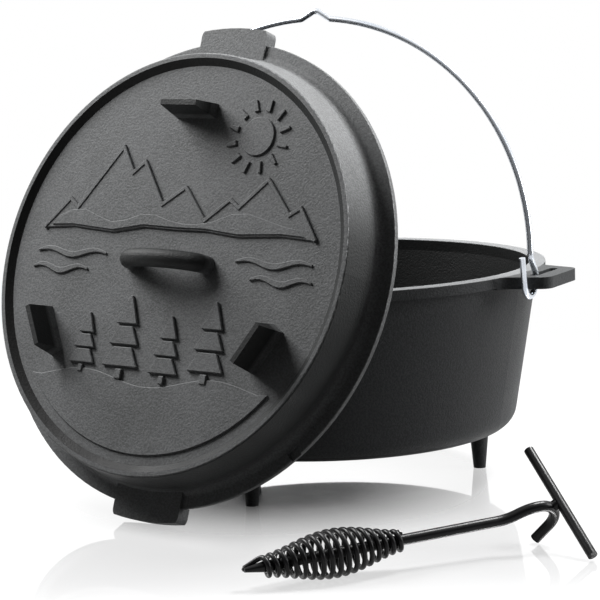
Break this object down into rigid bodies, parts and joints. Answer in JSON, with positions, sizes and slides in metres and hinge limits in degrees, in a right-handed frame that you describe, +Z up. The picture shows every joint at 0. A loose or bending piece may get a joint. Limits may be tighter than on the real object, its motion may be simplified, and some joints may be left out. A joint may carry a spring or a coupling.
{
  "type": "camp dutch oven",
  "caption": "Cast iron camp oven on legs with slotted ears and a swinging wire bail, a flanged lid with loop handle and feet leaning on its rim, and a spiral-grip lid lifter.",
  "frame": {"origin": "on the ground, under the pot's axis", "axes": "+Z up along the pot's axis, +X to the right ear, -Y to the leaning lid"},
  "size_m": [0.5177, 0.5236, 0.3771],
  "materials": {
    "seasoned_iron_pot": "seasoned, satin, fine sand-cast grain",
    "seasoned_iron_lid": "seasoned, satin, fine sand-cast grain",
    "zinc_wire": "bright zinc plate",
    "black_steel": "gloss black coat"
  },
  "bodies": {
    "pot": {"pot": "seasoned_iron_pot"},
    "bail": {"bail": "zinc_wire"},
    "lid": {"lid": "seasoned_iron_lid"},
    "lifter": {"lifter_rod": "black_steel", "lifter_crossbar": "black_steel", "crossbar_weld": "black_steel", "grip_coil": "black_steel", "coil_welds": "black_steel"}
  },
  "joints": [
    {"name": "bail_swing", "type": "hinge", "parent": "pot", "child": "bail", "pos_m": [0, -0.02809, 0.168], "axis": [-1, 0, 0], "range_deg": [-20, 55]},
    {"name": "lid_lift", "type": "slide", "parent": "pot", "child": "lid", "axis": [-0.096, -0.7006, 0.7071], "range_m": [0, 0.3]},
    {"name": "lifter_lift", "type": "slide", "parent": "pot", "child": "lifter", "axis": [0, 0, 1], "range_m": [0, 0.3]}
  ]
}
